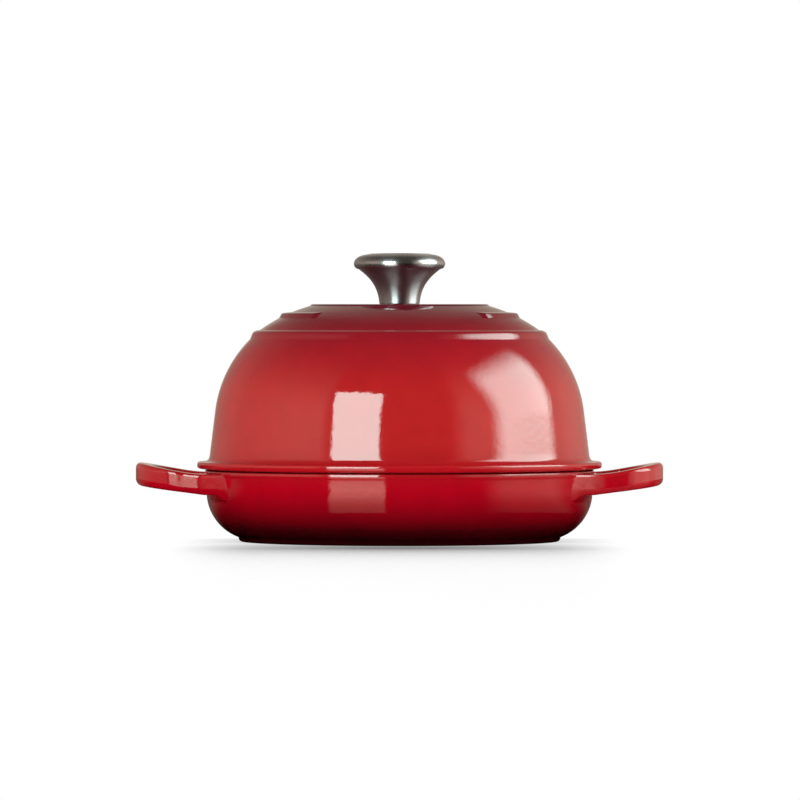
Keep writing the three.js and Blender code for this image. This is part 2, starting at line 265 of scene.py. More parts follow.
def redEnamel(look):
    material, tree, shader, place = startMaterial("redEnamel")
    spot = separated(tree, place)
    drift = noise(tree, place, look["driftScale"], 3)
    uneven = mapped(tree, drift, 0, 1, -look["drift"] * mm, look["drift"] * mm)
    level = maths(tree, "DIVIDE", maths(tree, "ADD", spot["Z"], uneven), look["height"] * mm)
    # colour by height, partly painted shade at the foot and at the crown
    shade = colourRamp(tree, level, [(height / look["height"], colour) for height, colour in look["shadesWithPaintedShade"]])
    cloud = noise(tree, place, look["cloudScale"], 4)
    tone = mapped(tree, cloud, 0, 1, *look["clouding"])
    toned = addNode(tree, "ShaderNodeVectorMath", {0: shade, 1: tone}, operation="MULTIPLY")
    ripple = noise(tree, place, 1 / (look["ripple"] * mm), 1.5)
    grain = noise(tree, place, 1 / (look["grain"] * mm), 2)
    dish, handle = (distance * mm for distance in look["handleStart"])
    calm = mapped(tree, maths(tree, "ABSOLUTE", spot["X"]), dish, handle, 1, look["handleRipple"])
    rolled = bumped(tree, ripple, look["rippleDepth"], calm)
    grained = bumped(tree, grain, look["grainDepth"], under=rolled)
    tree.links.new(toned.outputs["Vector"], shader.inputs["Base Color"])
    tree.links.new(mapped(tree, cloud, 0, 1, *look["roughness"]), shader.inputs["Roughness"])
    tree.links.new(grained, shader.inputs["Coat Normal"])
    shader.inputs["Specular IOR Level"].default_value = 0
    shader.inputs["Coat Weight"].default_value = 1
    shader.inputs["Coat IOR"].default_value = look["glassIor"]
    shader.inputs["Coat Roughness"].default_value = look["glassRoughness"]
    return material


# Black enamel of the inside: a satin coat, pebbled by fine bubbles, with a faint brown cast in its speckle.
blackFinish = {
    "speckScale": 900.0,
    "specks": [(0.35, (0.009, 0.009, 0.009)), (0.7, (0.022, 0.019, 0.017))],
    "cloudScale": 60.0,
    "roughness": (0.34, 0.5),
    "bubbleScale": 1100.0,
    "bubbleDepth": 0.02,
}


def blackEnamel(look):
    material, tree, shader, place = startMaterial("blackEnamel")
    speck = noise(tree, place, look["speckScale"], 3)
    cloud = noise(tree, place, look["cloudScale"], 3)
    pebble = addNode(tree, "ShaderNodeTexVoronoi", {"Vector": place, "Scale": look["bubbleScale"]})
    bump = bumped(tree, pebble.outputs["Distance"], look["bubbleDepth"], 0.5)
    tree.links.new(colourRamp(tree, speck, look["specks"]), shader.inputs["Base Color"])
    tree.links.new(mapped(tree, cloud, 0, 1, *look["roughness"]), shader.inputs["Roughness"])
    tree.links.new(bump, shader.inputs["Normal"])
    return material


# Turned steel: fine rings about the axis left by the tool, over a slow change from bright to satin, and
# duller below a height. The rings spread a reflection along the profile and leave it crisp round the axis.
# The wave texture turns by 20 radians in a unit, so its scale is 0.314 over the pitch of the rings.
knobFinish = {
    "colour": (0.525, 0.49, 0.51),
    "ringPitch": 0.35,
    "ringDepth": 0.0012,
    "roughness": (0.24, 0.30),
    "duller": 1.3,
    "dullBelow": (165.0, 170.0),
}
fastenerFinish = {
    "colour": (0.62, 0.61, 0.59),
    "ringPitch": 0.2,
    "ringDepth": 0.001,
    "roughness": (0.26, 0.4),
    "duller": 1.0,  # no change
    "dullBelow": (165.0, 170.0),
}
steel = {"smearScale": 160.0, "smearShade": 0.92, "ringWaver": 1.2, "spread": 0.85, "quarterTurn": 0.25}


def turnedSteel(name, look):
    material, tree, shader, place = startMaterial(name)
    scale = 0.314 / (look["ringPitch"] * mm)
    waves = {"Vector": place, "Scale": scale, "Distortion": steel["ringWaver"], "Detail": 3}
    rings = addNode(tree, "ShaderNodeTexWave", waves, wave_type="RINGS", rings_direction="Z")
    smear = noise(tree, place, steel["smearScale"], 4)
    satin = mapped(tree, smear, 0, 1, *look["roughness"])
    low, high = (height * mm for height in look["dullBelow"])
    dull = mapped(tree, separated(tree, place)["Z"], low, high, look["duller"], 1)
    darker = tuple(steel["smearShade"] * part for part in look["colour"])
    tint = colourRamp(tree, smear, [(0.3, darker), (0.7, look["colour"])])
    tangent = addNode(tree, "ShaderNodeTangent", direction_type="RADIAL", axis="Z")
    tree.links.new(tint, shader.inputs["Base Color"])
    tree.links.new(maths(tree, "MULTIPLY", satin, dull), shader.inputs["Roughness"])
    tree.links.new(bumped(tree, rings.outputs["Fac"], look["ringDepth"]), shader.inputs["Normal"])
    tree.links.new(tangent.outputs["Tangent"], shader.inputs["Tangent"])
    shader.inputs["Metallic"].default_value = 1
    shader.inputs["Anisotropic"].default_value = steel["spread"]
    shader.inputs["Anisotropic Rotation"].default_value = steel["quarterTurn"]
    return material


redCoat = redEnamel(enamel)
blackCoat = blackEnamel(blackFinish)
knobSteel = turnedSteel("knobSteel", knobFinish)
fastenerSteel = turnedSteel("fastenerSteel", fastenerFinish)
print("materials ready")

# Base: the bowl is one turned outline, from the middle of the foot round the rim to the middle of the floor.
base = {
    "radius": 120.0,
    "rimHeight": 44.2,
    "rimBead": 0.6,
    "rimBeadHeight": 3.3,
    "rimWidth": 4.0,
    "rimEdge": 0.8,
    "rimBevel": 0.8,
    "beadCurve": 5.3,
    "wallLean": 3.0,
    "wall": 3.8,
    "floor": 4.6,
    "bowlCurve": 30.0,
    "footRadius": 99.6,
    "footHeight": 2.5,
    "footEdge": 2.2,
    "recessRadius": 72.0,
    "recessDepth": 0.8,
    "ridgeCount": 4,
    "ridgeFirst": 24.0,
    "ridgePitch": 15.0,
    "ridgeHeight": 1.15,
    "ridgeWidth": 4.2,
    "glaze": 0.32,
    "rows": 150,
    "columns": 400,
}
rimRadius = base["radius"] + base["rimBead"]
rimInside = rimRadius - base["rimWidth"]
bowlCentre = base["radius"] - base["bowlCurve"]
footFall = np.sqrt(base["bowlCurve"] ** 2 - (base["footRadius"] - bowlCentre) ** 2)
bowlLevel = base["footHeight"] + footFall
beadFoot = base["rimHeight"] - base["rimBeadHeight"]


def bowlOutline(look):
    hollowCurve = bowlLevel - look["floor"]
    hollowCentre = look["radius"] - look["wall"] - hollowCurve
    leaning = bowlCentre - (beadFoot - bowlLevel) * np.tan(np.radians(look["wallLean"]))
    bowlStart = -np.degrees(np.arccos((look["footRadius"] - leaning) / look["bowlCurve"]))
    top = look["rimHeight"]
    beadMiddle = (beadFoot + top - look["rimEdge"]) / 2
    middles = look["ridgeFirst"] + look["ridgePitch"] * np.arange(look["ridgeCount"])[::-1]
    across = np.array([0.5, 0.0, -0.5]) * look["ridgeWidth"]
    lift = np.array([0.0, 1.0, 0.0]) * look["ridgeHeight"]
    ridges = np.column_stack(((middles[:, None] + across).ravel(),
                              look["floor"] + np.tile(lift, look["ridgeCount"])))
    runs = [
        [(0, look["recessDepth"]), (look["recessRadius"], look["recessDepth"])],
        [(look["recessRadius"] + 2 * look["recessDepth"], 0)],
        arcPoints((look["footRadius"] - look["footEdge"], look["footEdge"]), look["footEdge"], -90, 0, 8),
        arcPoints((leaning, bowlLevel), look["bowlCurve"], bowlStart, -look["wallLean"], 40),
        [(look["radius"], beadFoot - look["rimBead"] / 2)],
        arcPoints((rimRadius - look["beadCurve"], beadMiddle), look["beadCurve"], -11, 11, 8),
        arcPoints((rimRadius - look["rimEdge"], top - look["rimEdge"]), look["rimEdge"], 14, 90, 9),
        [(rimInside + look["rimBevel"], top), (rimInside, top - look["rimBevel"]), (rimInside, beadFoot)],
        arcPoints((hollowCentre, bowlLevel), hollowCurve, 0, -90, 40),
        ridges,
        [(0, look["floor"])],
    ]
    return softOutline(runs, look["glaze"], look["rows"])


bowlLine = bowlOutline(base)
bowlPoints, bowlFaces = turnedSurface(bowlLine, wholeTurn(base["columns"]))
insideRow = rowNear(bowlLine, (rimRadius - base["rimEdge"], base["rimHeight"]))
rowIsInside = np.arange(1, len(bowlLine) - 2) >= insideRow
bowlMaterial = np.concatenate((np.repeat(rowIsInside, base["columns"]), np.zeros(base["columns"]),
                               np.ones(base["columns"])))
basePiece = makePiece("basePan", bowlPoints, bowlFaces, [redCoat, blackCoat], bowlMaterial)

# Loop handles: a section with flat faces and rounded edges, carried round half an ellipse that climbs
# outwards. At its two roots the outer edge spreads by a wide arc into the wall, and the hole's edge by a
# small one.
loop = {
    "reach": 43.2,
    "span": 82.0,
    "width": 12.0,
    "height": 12.8,
    "rootEdge": 1.8,
    "tipEdge": 3.4,
    "underEdge": 3.6,
    "roundFrom": 0.5,  # shares of the reach
    "roundOver": 0.34,
    "flatStops": (0.06, 0.36, 0.64, 0.94),
    "drop": 1.8,
    "rise": 7.1,
    "level": 14.0,
    "underRise": 5.4,
    "flare": 37.0,
    "innerFlare": 8.0,
    "fillet": 3.0,
    "sink": 1.5,
    "bite": 0.5,
    "rootSteps": 44,
    "bendSteps": 46,
    "edgeSteps": 10,
}


# Outside radius of the bowl at a height: the bowl's arc below its level, and the plain wall above it.
def wallRadius(height):
    below = np.clip(bowlLevel - height, 0, base["bowlCurve"])
    return bowlCentre + np.sqrt(base["bowlCurve"] ** 2 - below ** 2)


# Points along a line at even distances.
def evenPoints(line, count):
    travelled = np.concatenate(([0], np.cumsum(np.hypot(*np.diff(line, axis=0).T))))
    spots = np.linspace(0, travelled[-1], count)
    return np.column_stack([np.interp(spots, travelled, line[:, i]) for i in (0, 1)])


# Plan of one edge of the loop from root to root. The arc at a root touches a circle just inside the wall, so
# its centre lies at that circle's radius plus its own, and as far to the side as the edge plus or minus its
# own.
def loopEdge(look, inset, flare, bend):
    wall = base["radius"] - look["bite"]
    start = np.sqrt((wall + look["flare"]) ** 2 - (look["span"] / 2 + look["flare"]) ** 2)
    half = look["span"] / 2 - inset
    tip = base["radius"] + look["reach"] - inset
    aside = half + bend * flare
    centre = np.array([np.sqrt((wall + flare) ** 2 - aside ** 2), aside])
    toWall = np.degrees(np.arctan2(-centre[1], -centre[0]))
    spread = arcPoints(centre, flare, toWall, -90 if bend > 0 else -270, 300)
    sunk = centre * (wall - look["sink"]) / (wall + flare)
    root = evenPoints(np.vstack((sunk, spread, (start, half))), look["rootSteps"])
    turn = np.radians(np.linspace(90, 0, 2000))
    ellipse = np.column_stack((start + (tip - start) * np.cos(turn), half * np.sin(turn)))
    side = np.vstack((root, evenPoints(ellipse, look["bendSteps"])[1:]))
    return np.vstack((side * (1, -1), side[-2::-1]))


# Section at each station: how far each point lies from the outer edge, how high, and the direction it faces.
# Four rounded edges follow each other, each with a flat after it; the upper edges grow rounder at the tip.
def handleSection(look, width, out):
    toTip = np.clip((out / look["reach"] - look["roundFrom"]) / look["roundOver"], 0, 1)
    upper = look["rootEdge"] + (look["tipEdge"] - look["rootEdge"]) * toTip ** 2 * (3 - 2 * toTip)
    under = np.full_like(upper, look["underEdge"])
    radius = np.stack((upper, upper, under, under), axis=1)[:, :, None]
    turn = np.radians(np.linspace(0, 90, look["edgeSteps"]) + 90 * np.arange(4)[:, None])
    rightward, topward = np.array([1, -1, -1, 1])[:, None], np.array([1, 1, -1, -1])[:, None]
    half = width[:, None, None] / 2
    across = rightward * (half - radius) + radius * np.cos(turn) - half
    up = topward * (look["height"] / 2 - radius) + radius * np.sin(turn)
    share = np.array(look["flatStops"])

    def withFlats(edges):
        after = np.roll(edges, -1, axis=1)[:, :, :1]
        flats = edges[:, :, -1:] + (after - edges[:, :, -1:]) * share
        return np.concatenate((edges, flats), axis=2).reshape(len(out), -1)

    facing = np.sin(turn)
    facing = np.concatenate((facing, np.repeat(facing[:, -1:], len(share), axis=1)), axis=1).ravel()
    return withFlats(across), withFlats(up), facing


# Skin of one handle. Its top climbs as the root of out squared plus level squared, less level; its underside
# climbs evenly, and dips by a quarter circle where it comes near the wall.
def handleSurface(look):
    outer = loopEdge(look, 0, look["flare"], 1)
    inner = loopEdge(look, look["width"], look["innerFlare"], -1)
    width = np.hypot(*(outer - inner).T)
    outward = (outer - inner) / width[:, None]
    across, up, facing = handleSection(look, width, outer[:, 0] - base["radius"])
    plan = outer[:, None, :] + outward[:, None, :] * across[:, :, None]
    out = np.clip(plan[..., 0] - base["radius"], 0, None)
    share = up / look["height"] + 0.5
    topClimb = (np.hypot(out, look["level"]) - look["level"]) * look["rise"]
    topClimb = topClimb / (np.hypot(look["reach"], look["level"]) - look["level"])
    rootLevel = base["rimHeight"] - look["drop"] - look["height"] / 2
    height = rootLevel + up + share * topClimb + (1 - share) * look["underRise"] * out / look["reach"]
    dip = np.zeros_like(height)
    for settle in range(5):
        distance = np.hypot(plan[..., 0], plan[..., 1]) - wallRadius(height - dip)
        near = np.clip(look["fillet"] - distance, 0, look["fillet"])
        dip = (look["fillet"] - np.sqrt(look["fillet"] ** 2 - near ** 2)) * np.clip(-facing, 0, None)
    points = np.concatenate((plan, (height - dip)[:, :, None]), axis=2)
    count = points.shape[1]
    quads = gridQuads(len(points), count, False)[:, ::-1]
    ring = np.arange(count)
    ends = [ring[None, :], (len(points) - 1) * count + ring[None, ::-1]]
    return points.reshape(-1, 3), [quads, *ends]


handlePoints, handleFaces = handleSurface(loop)
rightLoop = makePiece("rightLoop", handlePoints, handleFaces, [redCoat])
leftLoop = makePiece("leftLoop", handlePoints * (-1, -1, 1), handleFaces, [redCoat])
combine(basePiece, [rightLoop, leftLoop], "UNION")
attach(basePiece, "base")
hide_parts("base_pan")
print("base ready:", len(basePiece.data.polygons), "faces")

# Lid: a closed outline turned about Z, from the lip up the outside to the screw hole and back down the
# inside.
lid = {
    "seatGap": 0.3,
    "play": 0.7,
    "flangeOverhang": 4.6,
    "flangeThickness": 5.0,
    "flangeLift": 0.8,
    "flangeEdge": 1.3,
    "flangeFillet": 4.0,
    "lipWidth": 2.4,
    "lipDepth": 3.4,
    "lipBevel": 0.7,
    "wall": 4.0,
    "sideDraft": 6.1,
    "sideHeight": 30.2,
    "shoulderRadius": 75.9,
    "shoulderSlope": 45.0,
    "stepRise": 4.1,
    "stepInset": 1.7,
    "stepWidth": 4.3,
    "stepSlope": 17.8,
    "crestBevel": 1.0,
    "crestPull": (0.1, 0.3),
    "crownPull": (2.6, -0.1),
    "crownRun": 0.6,
    "crownRadius": 97.0,
    "crownSlope": 36.0,
    "barGap": 11.9,
    "barWidth": 8.1,
    "barSlope": 4.0,
    "barInset": 1.4,
    "barArc": 90.0,
    "barEnd": 0.9,
    "barCorner": 4.0,
    "endCrowding": 5.0,
    "endReach": 1.6,  # degrees
    "topGap": 9.1,
    "topRise": 1.6,
    "topInset": 2.4,
    "screwHole": 3.3,
    "glaze": 0.24,
    "rows": 200,
    "columns": 420,
}
seatLevel = base["rimHeight"] + lid["seatGap"]
flangeTop = seatLevel + lid["flangeThickness"]
lipOutside = rimInside - lid["play"]
lipInside = lipOutside - lid["lipWidth"]
sideFoot = lipInside + lid["wall"]
draft = np.radians(lid["sideDraft"])
shoulderCentre = sideFoot - lid["sideHeight"] * np.tan(draft) - lid["shoulderRadius"] * np.cos(draft)
shoulderLevel = flangeTop + lid["sideHeight"] - lid["shoulderRadius"] * np.sin(draft)
shoulderTurn = np.radians(lid["shoulderSlope"])
stepOuter = shoulderCentre + lid["shoulderRadius"] * np.sin(shoulderTurn) - lid["stepInset"]
stepLevel = shoulderLevel + lid["shoulderRadius"] * np.cos(shoulderTurn) + lid["stepRise"]
stepInner = stepOuter - lid["stepWidth"]
crownTurn = np.radians(lid["crownSlope"])
crownCentre = stepInner - lid["crownRadius"] * np.sin(crownTurn)
crownFoot = stepLevel + lid["stepWidth"] * np.tan(np.radians(lid["stepSlope"]))
crownLevel = crownFoot - lid["crownRadius"] * np.cos(crownTurn)
barOuter = stepInner - lid["barGap"]
barInner = barOuter - lid["barWidth"]
crownEnd = barInner - lid["topGap"]
topRadius = crownEnd - lid["topInset"]


# Height of the plain crown at a radius: the arc of the crown.
def crownHeight(radius):
    return crownLevel + np.sqrt(lid["crownRadius"] ** 2 - (radius - crownCentre) ** 2)


topLevel = crownHeight(crownEnd) + lid["topRise"]


def lidOutline(look):
    edgeMiddle = rimRadius + look["flangeOverhang"] - look["flangeEdge"]
    edgeLow = seatLevel + look["flangeLift"] + look["flangeEdge"]
    barTop = crownHeight(barInner) - look["barWidth"] * np.tan(np.radians(look["barSlope"]))
    barBack = barOuter - look["barInset"]
    crownStart = 90 - look["crownSlope"]
    crownAngles = [np.degrees(np.arccos((radius - crownCentre) / look["crownRadius"]))
                   for radius in (barOuter, barInner, crownEnd)]
    topInside = topLevel - look["wall"]
    runs = [
        [(lipOutside - look["lipBevel"], seatLevel - look["lipDepth"])],
        [(lipOutside, seatLevel - look["lipDepth"] + look["lipBevel"]), (lipOutside, seatLevel)],
        [(rimRadius - base["rimEdge"], seatLevel)],
        arcPoints((edgeMiddle, edgeLow), look["flangeEdge"], -80, 0, 8),
        arcPoints((edgeMiddle, flangeTop - look["flangeEdge"]), look["flangeEdge"], 0, 85, 8),
        arcPoints((sideFoot + look["flangeFillet"], flangeTop + look["flangeFillet"]), look["flangeFillet"],
                  270, 180 + look["sideDraft"], 12),
        arcPoints((shoulderCentre, shoulderLevel), look["shoulderRadius"], look["sideDraft"],
                  90 - look["shoulderSlope"], 60),
        cubicPoints([(stepOuter + look["crestBevel"] / 2, stepLevel - look["crestBevel"]),
                     (stepOuter + look["crestPull"][0], stepLevel + look["crestPull"][1]),
                     (stepInner + look["crownPull"][0], crownFoot + look["crownPull"][1]),
                     (stepInner + look["crownRun"], crownFoot)], 12),
        arcPoints((crownCentre, crownLevel), look["crownRadius"], crownStart, crownAngles[0], 24),
        [(barBack, barTop - look["crestBevel"] / 2), (barBack - look["crestBevel"], barTop)],
        arcPoints((crownCentre, crownLevel), look["crownRadius"], crownAngles[1], crownAngles[2], 24),
        [(topRadius + look["crestBevel"] / 2, topLevel - look["crestBevel"])],
        [(topRadius - look["crestBevel"] / 2, topLevel)],
        [(look["screwHole"], topLevel), (look["screwHole"], topInside)],
        [(topRadius - look["topRise"], topInside)],
        arcPoints((crownCentre, crownLevel), look["crownRadius"] - look["wall"],
                  crownAngles[2], crownStart, 30),
        arcPoints((shoulderCentre, shoulderLevel), look["shoulderRadius"] - look["wall"],
                  90 - look["shoulderSlope"], look["sideDraft"], 50),
        [(lipInside, flangeTop + look["flangeFillet"]), (lipInside, seatLevel - look["lipDepth"])],
    ]
    return softOutline(runs, look["glaze"], look["rows"], closed=True)


# Angles round the lid, standing closer at the four ends of the raised bars.
def lidAngles(look):
    fine = np.linspace(0, 2 * np.pi, 20001)
    fromEnd = np.degrees(np.abs((fine - np.pi / 4) % (np.pi / 2)))
    fromEnd = np.minimum(fromEnd, 90 - fromEnd)
    measure = np.cumsum(1 + look["endCrowding"] * np.exp(-(fromEnd / look["endReach"]) ** 2))
    return np.interp(np.linspace(measure[0], measure[-1], look["columns"], endpoint=False), measure, fine)


lidLine = lidOutline(lid)
angles = lidAngles(lid)
lidPoints, lidFaces = turnedSurface(lidLine, angles, closed=True)
rows = np.arange(len(lidLine))
seatRow = rowNear(lidLine, (rimRadius - base["rimEdge"], seatLevel))
holeRow = rowNear(lidLine, (lid["screwHole"], topLevel - 1))
lidMaterial = np.repeat((rows < seatRow) | (rows >= holeRow), lid["columns"])
# bars: the outline carries them all round, and they sink back to the plain crown over the front and the back
nearBar = np.abs(lidLine[:, 0] - (barInner + barOuter) / 2) < lid["barWidth"] / 2 + 1
onBar = nearBar & (lidLine[:, 1] > crownFoot + 2) & (rows < holeRow)
barHeight = np.where(onBar, lidLine[:, 1] - crownHeight(np.minimum(lidLine[:, 0], stepInner)), 0)
fromSide = np.abs((angles + np.pi / 2) % np.pi - np.pi / 2)
endDistance = (np.radians(lid["barArc"] / 2) - fromSide) * barInner
inCorner = np.clip((lidLine[:, 0] - barOuter) / lid["barCorner"] + 1, 0, 1)
rounding = lid["barCorner"] * (1 - np.sqrt(1 - inCorner ** 2))
kept = np.clip(0.5 + (endDistance - rounding[:, None]) / (2 * lid["barEnd"]), 0, 1)
kept = kept ** 2 * (3 - 2 * kept)
lidPoints[:, 2] -= (barHeight[:, None] * (1 - kept)).ravel()
lidPiece = makePiece("domeLid", lidPoints, lidFaces, [redCoat, blackCoat], lidMaterial)
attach(lidPiece, "lid")
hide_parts("dome_lid")
print("lid ready:", len(lidPiece.data.polygons), "faces, top at", round(float(topLevel), 1), "mm")

# Knob: turned from one bar, a stem that flares into a broad head, with the blind screw hole under it.
knob = {
    "radius": 28.3,
    "stem": 12.5,
    "stemHeight": 21.4,
    "neck": 25.3,
    "under": 3.4,
    "over": 5.6,
    "shoulder": 8.5,
    "crown": 0.9,
    "chamfer": 0.3,
    "sunk": 0.25,
    "hole": 3.3,
    "holeDepth": 14.0,
    "drillPoint": 1.5,
    "belly": (0.8, 0.5),  # how far out, and at what share of the stem's height
    "flare": (0.46, 0.76),  # shares of the way out to the neck and of the stem's height
    "dome": (0.62, 0.3),  # shares of the radius
    "glaze": 0.16,
    "rows": 110,
    "columns": 160,
}


# The rounded edge of the knob's head: a quarter of an ellipse, from the angles given in degrees.
def headEdge(look, depth, rise, middle, start, end):
    turn = np.radians(np.linspace(start, end, 16))
    return np.column_stack((look["radius"] - depth * (1 - np.cos(turn)), middle + rise * np.sin(turn)))


def knobOutline(look, foot):
    neckTop = foot + look["stemHeight"]
    middle = neckTop + look["under"]
    top = middle + look["over"] + look["crown"]
    seat = foot - look["sunk"]
    widening = look["neck"] - look["stem"]
    drilled = foot + look["holeDepth"]
    outer, inner = (share * look["radius"] for share in look["dome"])
    stem = [
        (look["stem"], seat + look["chamfer"]),
        (look["stem"] + look["belly"][0], foot + look["belly"][1] * look["stemHeight"]),
        (look["stem"] + look["flare"][0] * widening, foot + look["flare"][1] * look["stemHeight"]),
        (look["neck"], neckTop),
    ]
    runs = [
        [(0, drilled), (look["hole"], drilled - look["drillPoint"]), (look["hole"], seat)],
        [(look["stem"] - look["chamfer"], seat)],
        cubicPoints(stem, 30),
        headEdge(look, look["radius"] - look["neck"], look["under"], middle, -78, 0),
        headEdge(look, look["shoulder"], look["over"], middle, 4, 72),
        [(outer, top - look["crown"] / 3), (inner, top), (0, top)],
    ]
    return softOutline(runs, look["glaze"], look["rows"])


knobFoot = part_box("knob")[0][2] / mm
knobLine = knobOutline(knob, knobFoot)
knobPoints, knobFaces = turnedSurface(knobLine, wholeTurn(knob["columns"]))
knobPiece = makePiece("steelKnob", knobPoints, knobFaces, [knobSteel])
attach(knobPiece, "lid")
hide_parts("knob")
print("knob ready")

# Screw: a slotted round head under the lid, and a shank with a helical thread up into the knob.
screw = {
    "headRadius": 6.0,
    "headHeight": 3.8,
    "headEdge": 1.2,
    "slotWidth": 1.4,
    "slotDepth": 1.8,
    "threadOuter": 3.0,
    "threadInner": 2.5,
    "pitch": 1.0,
    "bevel": 0.6,
    "glaze": 0.08,
    "rows": 260,
    "columns": 64,
}


def screwPiece(look, bottom, end):
    headTop = bottom + look["headHeight"]
    flatRadius = look["headRadius"] - look["headEdge"]
    runs = [
        [(0, bottom), (flatRadius, bottom)],
        arcPoints((flatRadius, bottom + look["headEdge"]), look["headEdge"], -90, 0, 10),
        [(look["headRadius"], headTop), (look["threadOuter"], headTop)],
        [(look["threadOuter"], end - look["bevel"]), (look["threadOuter"] - look["bevel"], end), (0, end)],
    ]
    line = softOutline(runs, look["glaze"], look["rows"], crowding=3)
    points, faces = turnedSurface(line, wholeTurn(look["columns"]))
    # thread: the shank's radius goes in and out as a triangle wave of height less the share of a turn
    radius = np.hypot(points[:, 0], points[:, 1])
    share = (points[:, 2] / look["pitch"] - np.arctan2(points[:, 1], points[:, 0]) / (2 * np.pi)) % 1
    cut = (look["threadOuter"] - look["threadInner"]) * np.clip(2.4 * np.abs(share - 0.5) - 0.1, 0, 1)
    shank = (points[:, 2] > headTop + 0.5) & (points[:, 2] < end - 0.05)
    shank &= radius > look["threadInner"] - 0.2
    points[:, :2] *= np.where(shank, 1 - cut / np.maximum(radius, 1), 1)[:, None]
    piece = makePiece("knobScrew", points, faces, [fastenerSteel])
    reach, half = look["headRadius"] + 1, look["slotWidth"] / 2
    flat = np.array([(-reach, -half), (reach, -half), (reach, half), (-reach, half)])
    slot = np.vstack((np.column_stack((flat, np.full(4, bottom - 1))),
                      np.column_stack((flat, np.full(4, bottom + look["slotDepth"])))))
    sides = [(0, 3, 2, 1), (4, 5, 6, 7), (0, 1, 5, 4), (1, 2, 6, 5), (2, 3, 7, 6), (3, 0, 4, 7)]
    combine(piece, [makePiece("slotCutter", slot, [sides], [])], "DIFFERENCE")
    return piece


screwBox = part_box("knob_screw")
screwMade = screwPiece(screw, screwBox[0][2] / mm, screwBox[1][2] / mm)
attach(screwMade, "lid")
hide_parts("knob_screw")

# Flat washer: a stamped ring, rolled over on one side and crisp on the other.
washer = {"hole": 3.3, "edge": 0.35, "glaze": 0.1, "rows": 40, "columns": 96}


def washerOutline(look, outer, low, high):
    edge = look["edge"]
    runs = [
        [(look["hole"], low), (outer - edge, low)],
        arcPoints((outer - edge, low + edge), edge, -90, 0, 6),
        [(outer, high), (look["hole"] + edge, high)],
        [(look["hole"], high - edge)],
    ]
    return softOutline(runs, look["glaze"], look["rows"], closed=True, crowding=3)


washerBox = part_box("flat_washer")
washerLine = washerOutline(washer, washerBox[1][0] / mm, washerBox[0][2] / mm, washerBox[1][2] / mm)
washerPoints, washerFaces = turnedSurface(washerLine, wholeTurn(washer["columns"]), closed=True)
washerPiece = makePiece("flatWasher", washerPoints, washerFaces, [fastenerSteel])
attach(washerPiece, "lid")
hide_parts("flat_washer")

# Lock washer: a rounded square section carried round nearly a whole turn, with its two ends sprung apart.
spring = {"hole": 3.3, "split": 0.9, "sprung": 0.08, "power": 5.0, "sectionSteps": 32, "turnSteps": 120}


def springSurface(look, outer, low, high):
    half = np.array([(outer - look["hole"]) / 2, (high - low) / 2 - look["sprung"]])
    gap = look["split"] / (outer + look["hole"])
    turn = np.linspace(gap, 2 * np.pi - gap, look["turnSteps"])[:, None]
    around = wholeTurn(look["sectionSteps"])
    bend = 2 / look["power"]
    radius = (outer + look["hole"]) / 2 + half[0] * np.sign(np.cos(around)) * np.abs(np.cos(around)) ** bend
    rise = half[1] * np.sign(np.sin(around)) * np.abs(np.sin(around)) ** bend
    height = (low + high) / 2 + rise + look["sprung"] * (turn / np.pi - 1)
    points = np.stack((radius * np.cos(turn), radius * np.sin(turn), height), axis=-1)
    quads = gridQuads(look["turnSteps"], look["sectionSteps"], False)[:, ::-1]
    ring = np.arange(look["sectionSteps"])
    ends = [ring[None, :], (look["turnSteps"] - 1) * look["sectionSteps"] + ring[None, ::-1]]
    return points.reshape(-1, 3), [quads, *ends]


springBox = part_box("lock_washer")
springLow, springHigh = springBox[0][2] / mm, springBox[1][2] / mm
springPoints, springFaces = springSurface(spring, springBox[1][1] / mm, springLow, springHigh)
springPiece = makePiece("lockWasher", springPoints, springFaces, [fastenerSteel])
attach(springPiece, "lid")
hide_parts("lock_washer")
print("screw and washers ready")

